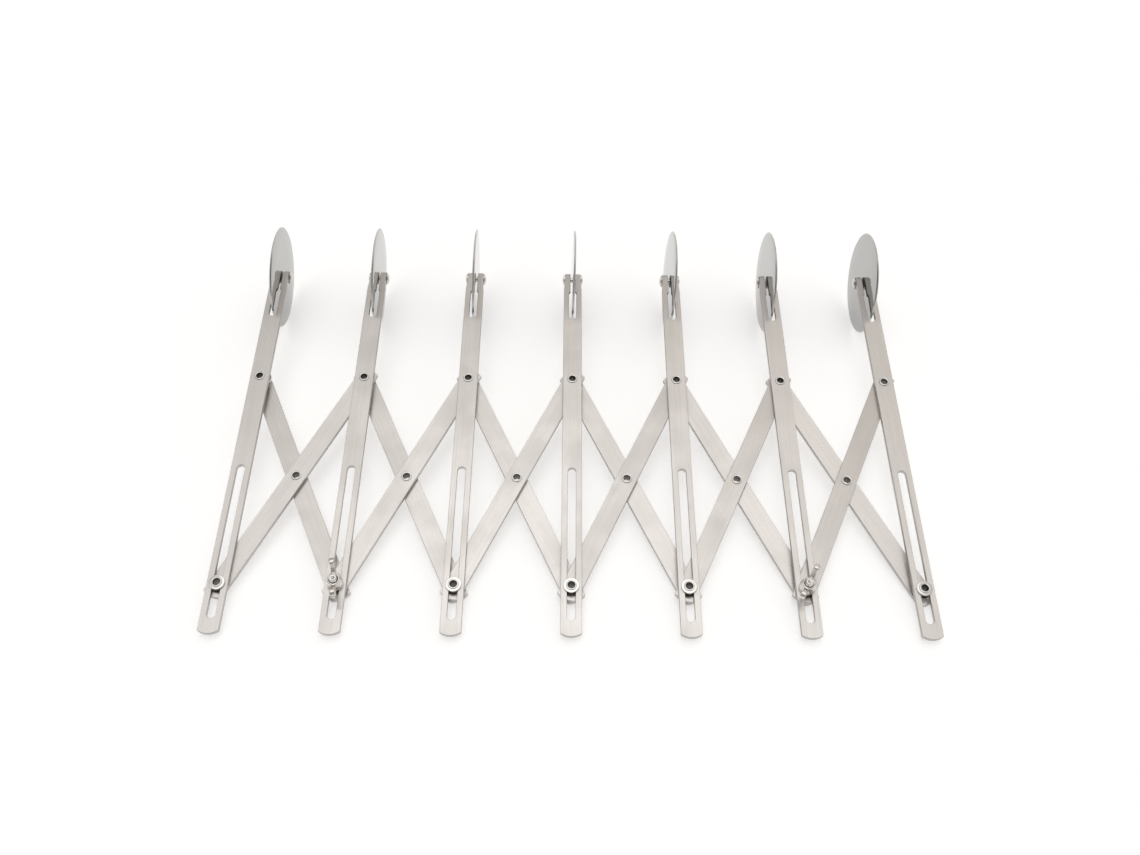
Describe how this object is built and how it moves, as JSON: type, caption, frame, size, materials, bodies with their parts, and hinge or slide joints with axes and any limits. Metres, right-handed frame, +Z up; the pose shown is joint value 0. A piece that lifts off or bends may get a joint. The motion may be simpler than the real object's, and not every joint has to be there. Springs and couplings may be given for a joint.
{
  "type": "expanding pastry cutter",
  "caption": "Expanding dough cutter: disc wheels on parallel slotted arms, spaced evenly by crossed bars that slide in the arms' slots and lock with wing nuts.",
  "frame": {"origin": "middle of the footprint, on the surface the tool rests on", "axes": "+X along the row of wheels, +Y from the handle ends towards the wheels, +Z up"},
  "size_m": [0.3368, 0.2357, 0.055],
  "materials": {
    "brushed_bar": "stainless steel brushed along each bar",
    "polished_wheel": "mirror polished stainless steel",
    "polished_fastener": "polished stainless steel",
    "cast_nut": "bright tumbled steel"
  },
  "bodies": {
    "arm_1": {"wheel_arm_1": "brushed_bar", "wheel_axle_1": "polished_fastener", "pivot_rivet_1": "polished_fastener", "pivot_spacer_1": "polished_fastener"},
    "wheel_1": {"cutter_wheel_1": "polished_wheel"},
    "arm_2": {"wheel_arm_2": "brushed_bar", "wheel_axle_2": "polished_fastener", "pivot_rivet_2": "polished_fastener"},
    "wheel_2": {"cutter_wheel_2": "polished_wheel"},
    "arm_3": {"wheel_arm_3": "brushed_bar", "wheel_axle_3": "polished_fastener", "pivot_rivet_3": "polished_fastener"},
    "wheel_3": {"cutter_wheel_3": "polished_wheel"},
    "arm_4": {"wheel_arm_4": "brushed_bar", "wheel_axle_4": "polished_fastener", "pivot_rivet_4": "polished_fastener"},
    "wheel_4": {"cutter_wheel_4": "polished_wheel"},
    "arm_5": {"wheel_arm_5": "brushed_bar", "wheel_axle_5": "polished_fastener", "pivot_rivet_5": "polished_fastener"},
    "wheel_5": {"cutter_wheel_5": "polished_wheel"},
    "arm_6": {"wheel_arm_6": "brushed_bar", "wheel_axle_6": "polished_fastener", "pivot_rivet_6": "polished_fastener"},
    "wheel_6": {"cutter_wheel_6": "polished_wheel"},
    "arm_7": {"wheel_arm_7": "brushed_bar", "wheel_axle_7": "polished_fastener", "pivot_rivet_7": "polished_fastener"},
    "wheel_7": {"cutter_wheel_7": "polished_wheel"},
    "lower_link_1": {"lower_cross_bar_1": "brushed_bar", "centre_rivet_1": "polished_fastener", "clamp_screw_2": "polished_fastener"},
    "upper_link_1": {"upper_cross_bar_1": "brushed_bar", "slide_rivet_1": "polished_fastener"},
    "lower_link_2": {"lower_cross_bar_2": "brushed_bar", "centre_rivet_2": "polished_fastener", "slide_rivet_3": "polished_fastener"},
    "upper_link_2": {"upper_cross_bar_2": "brushed_bar"},
    "lower_link_3": {"lower_cross_bar_3": "brushed_bar", "centre_rivet_3": "polished_fastener", "slide_rivet_4": "polished_fastener"},
    "upper_link_3": {"upper_cross_bar_3": "brushed_bar"},
    "lower_link_4": {"lower_cross_bar_4": "brushed_bar", "centre_rivet_4": "polished_fastener", "slide_rivet_5": "polished_fastener"},
    "upper_link_4": {"upper_cross_bar_4": "brushed_bar"},
    "lower_link_5": {"lower_cross_bar_5": "brushed_bar", "centre_rivet_5": "polished_fastener", "clamp_screw_6": "polished_fastener"},
    "upper_link_5": {"upper_cross_bar_5": "brushed_bar"},
    "lower_link_6": {"lower_cross_bar_6": "brushed_bar", "centre_rivet_6": "polished_fastener", "slide_rivet_7": "polished_fastener", "slider_spacer_7": "polished_fastener"},
    "upper_link_6": {"upper_cross_bar_6": "brushed_bar"},
    "nut_2": {"wing_nut_2": "cast_nut"},
    "nut_6": {"wing_nut_6": "cast_nut"}
  },
  "joints": [
    {"name": "accordion", "type": "hinge", "parent": "arm_4", "child": "lower_link_4", "pos_m": [0, 0.02137, 0.01912], "axis": [0, -0.127, 0.9919], "range_deg": [-18, 39]},
    {"name": "upper_link_4_at_centre", "type": "hinge", "parent": "lower_link_4", "child": "upper_link_4", "pos_m": [0.027, -0.03602, 0.01178], "axis": [0, -0.127, 0.9919], "range_deg": [-78, 36]},
    {"name": "arm_5_at_pivot", "type": "hinge", "parent": "upper_link_4", "child": "arm_5", "pos_m": [0.054, 0.02137, 0.01912], "axis": [0, -0.127, 0.9919], "range_deg": [-18, 39]},
    {"name": "lower_link_5_at_pivot", "type": "hinge", "parent": "arm_5", "child": "lower_link_5", "pos_m": [0.054, 0.02137, 0.01912], "axis": [0, -0.127, 0.9919], "range_deg": [-18, 39]},
    {"name": "upper_link_5_at_centre", "type": "hinge", "parent": "lower_link_5", "child": "upper_link_5", "pos_m": [0.081, -0.03602, 0.01178], "axis": [0, -0.127, 0.9919], "range_deg": [-78, 36]},
    {"name": "arm_6_at_pivot", "type": "hinge", "parent": "upper_link_5", "child": "arm_6", "pos_m": [0.108, 0.02137, 0.01912], "axis": [0, -0.127, 0.9919], "range_deg": [-18, 39]},
    {"name": "lower_link_6_at_pivot", "type": "hinge", "parent": "arm_6", "child": "lower_link_6", "pos_m": [0.108, 0.02137, 0.01912], "axis": [0, -0.127, 0.9919], "range_deg": [-18, 39]},
    {"name": "upper_link_6_at_centre", "type": "hinge", "parent": "lower_link_6", "child": "upper_link_6", "pos_m": [0.135, -0.03602, 0.01178], "axis": [0, -0.127, 0.9919], "range_deg": [-78, 36]},
    {"name": "arm_7_at_pivot", "type": "hinge", "parent": "upper_link_6", "child": "arm_7", "pos_m": [0.162, 0.02137, 0.01912], "axis": [0, -0.127, 0.9919], "range_deg": [-18, 39]},
    {"name": "upper_link_3_at_pivot", "type": "hinge", "parent": "arm_4", "child": "upper_link_3", "pos_m": [0, 0.02137, 0.01912], "axis": [0, -0.127, 0.9919], "range_deg": [-39, 18]},
    {"name": "lower_link_3_at_centre", "type": "hinge", "parent": "upper_link_3", "child": "lower_link_3", "pos_m": [-0.027, -0.03602, 0.01178], "axis": [0, -0.127, 0.9919], "range_deg": [-36, 78]},
    {"name": "arm_3_at_pivot", "type": "hinge", "parent": "lower_link_3", "child": "arm_3", "pos_m": [-0.054, 0.02137, 0.01912], "axis": [0, -0.127, 0.9919], "range_deg": [-39, 18]},
    {"name": "upper_link_2_at_pivot", "type": "hinge", "parent": "arm_3", "child": "upper_link_2", "pos_m": [-0.054, 0.02137, 0.01912], "axis": [0, -0.127, 0.9919], "range_deg": [-39, 18]},
    {"name": "lower_link_2_at_centre", "type": "hinge", "parent": "upper_link_2", "child": "lower_link_2", "pos_m": [-0.081, -0.03602, 0.01178], "axis": [0, -0.127, 0.9919], "range_deg": [-36, 78]},
    {"name": "arm_2_at_pivot", "type": "hinge", "parent": "lower_link_2", "child": "arm_2", "pos_m": [-0.108, 0.02137, 0.01912], "axis": [0, -0.127, 0.9919], "range_deg": [-39, 18]},
    {"name": "upper_link_1_at_pivot", "type": "hinge", "parent": "arm_2", "child": "upper_link_1", "pos_m": [-0.108, 0.02137, 0.01912], "axis": [0, -0.127, 0.9919], "range_deg": [-39, 18]},
    {"name": "lower_link_1_at_centre", "type": "hinge", "parent": "upper_link_1", "child": "lower_link_1", "pos_m": [-0.135, -0.03602, 0.01178], "axis": [0, -0.127, 0.9919], "range_deg": [-36, 78]},
    {"name": "arm_1_at_pivot", "type": "hinge", "parent": "lower_link_1", "child": "arm_1", "pos_m": [-0.162, 0.02137, 0.01912], "axis": [0, -0.127, 0.9919], "range_deg": [-39, 18]},
    {"name": "wheel_1_spin", "type": "hinge", "parent": "arm_1", "child": "wheel_1", "pos_m": [-0.162, 0.09036, 0.0275], "axis": [1, 0, 0], "continuous": true},
    {"name": "wheel_2_spin", "type": "hinge", "parent": "arm_2", "child": "wheel_2", "pos_m": [-0.108, 0.09036, 0.0275], "axis": [1, 0, 0], "continuous": true},
    {"name": "wheel_3_spin", "type": "hinge", "parent": "arm_3", "child": "wheel_3", "pos_m": [-0.054, 0.09036, 0.0275], "axis": [1, 0, 0], "continuous": true},
    {"name": "wheel_4_spin", "type": "hinge", "parent": "arm_4", "child": "wheel_4", "pos_m": [0, 0.09036, 0.0275], "axis": [1, 0, 0], "continuous": true},
    {"name": "wheel_5_spin", "type": "hinge", "parent": "arm_5", "child": "wheel_5", "pos_m": [0.054, 0.09036, 0.0275], "axis": [1, 0, 0], "continuous": true},
    {"name": "wheel_6_spin", "type": "hinge", "parent": "arm_6", "child": "wheel_6", "pos_m": [0.108, 0.09036, 0.0275], "axis": [1, 0, 0], "continuous": true},
    {"name": "wheel_7_spin", "type": "hinge", "parent": "arm_7", "child": "wheel_7", "pos_m": [0.162, 0.09036, 0.0275], "axis": [1, 0, 0], "continuous": true},
    {"name": "wing_nut_2_turn", "type": "hinge", "parent": "lower_link_1", "child": "nut_2", "pos_m": [-0.108, -0.09418, 0.01043], "axis": [0, -0.127, 0.9919], "continuous": true},
    {"name": "wing_nut_6_turn", "type": "hinge", "parent": "lower_link_5", "child": "nut_6", "pos_m": [0.108, -0.09418, 0.01043], "axis": [0, -0.127, 0.9919], "continuous": true}
  ],
  "couplings": [
    {"joint": "upper_link_4_at_centre", "follows": "accordion", "ratio": -2},
    {"joint": "arm_5_at_pivot", "follows": "accordion", "ratio": 1},
    {"joint": "lower_link_5_at_pivot", "follows": "accordion", "ratio": 1},
    {"joint": "upper_link_5_at_centre", "follows": "accordion", "ratio": -2},
    {"joint": "arm_6_at_pivot", "follows": "accordion", "ratio": 1},
    {"joint": "lower_link_6_at_pivot", "follows": "accordion", "ratio": 1},
    {"joint": "upper_link_6_at_centre", "follows": "accordion", "ratio": -2},
    {"joint": "arm_7_at_pivot", "follows": "accordion", "ratio": 1},
    {"joint": "upper_link_3_at_pivot", "follows": "accordion", "ratio": -1},
    {"joint": "lower_link_3_at_centre", "follows": "accordion", "ratio": 2},
    {"joint": "arm_3_at_pivot", "follows": "accordion", "ratio": -1},
    {"joint": "upper_link_2_at_pivot", "follows": "accordion", "ratio": -1},
    {"joint": "lower_link_2_at_centre", "follows": "accordion", "ratio": 2},
    {"joint": "arm_2_at_pivot", "follows": "accordion", "ratio": -1},
    {"joint": "upper_link_1_at_pivot", "follows": "accordion", "ratio": -1},
    {"joint": "lower_link_1_at_centre", "follows": "accordion", "ratio": 2},
    {"joint": "arm_1_at_pivot", "follows": "accordion", "ratio": -1}
  ]
}
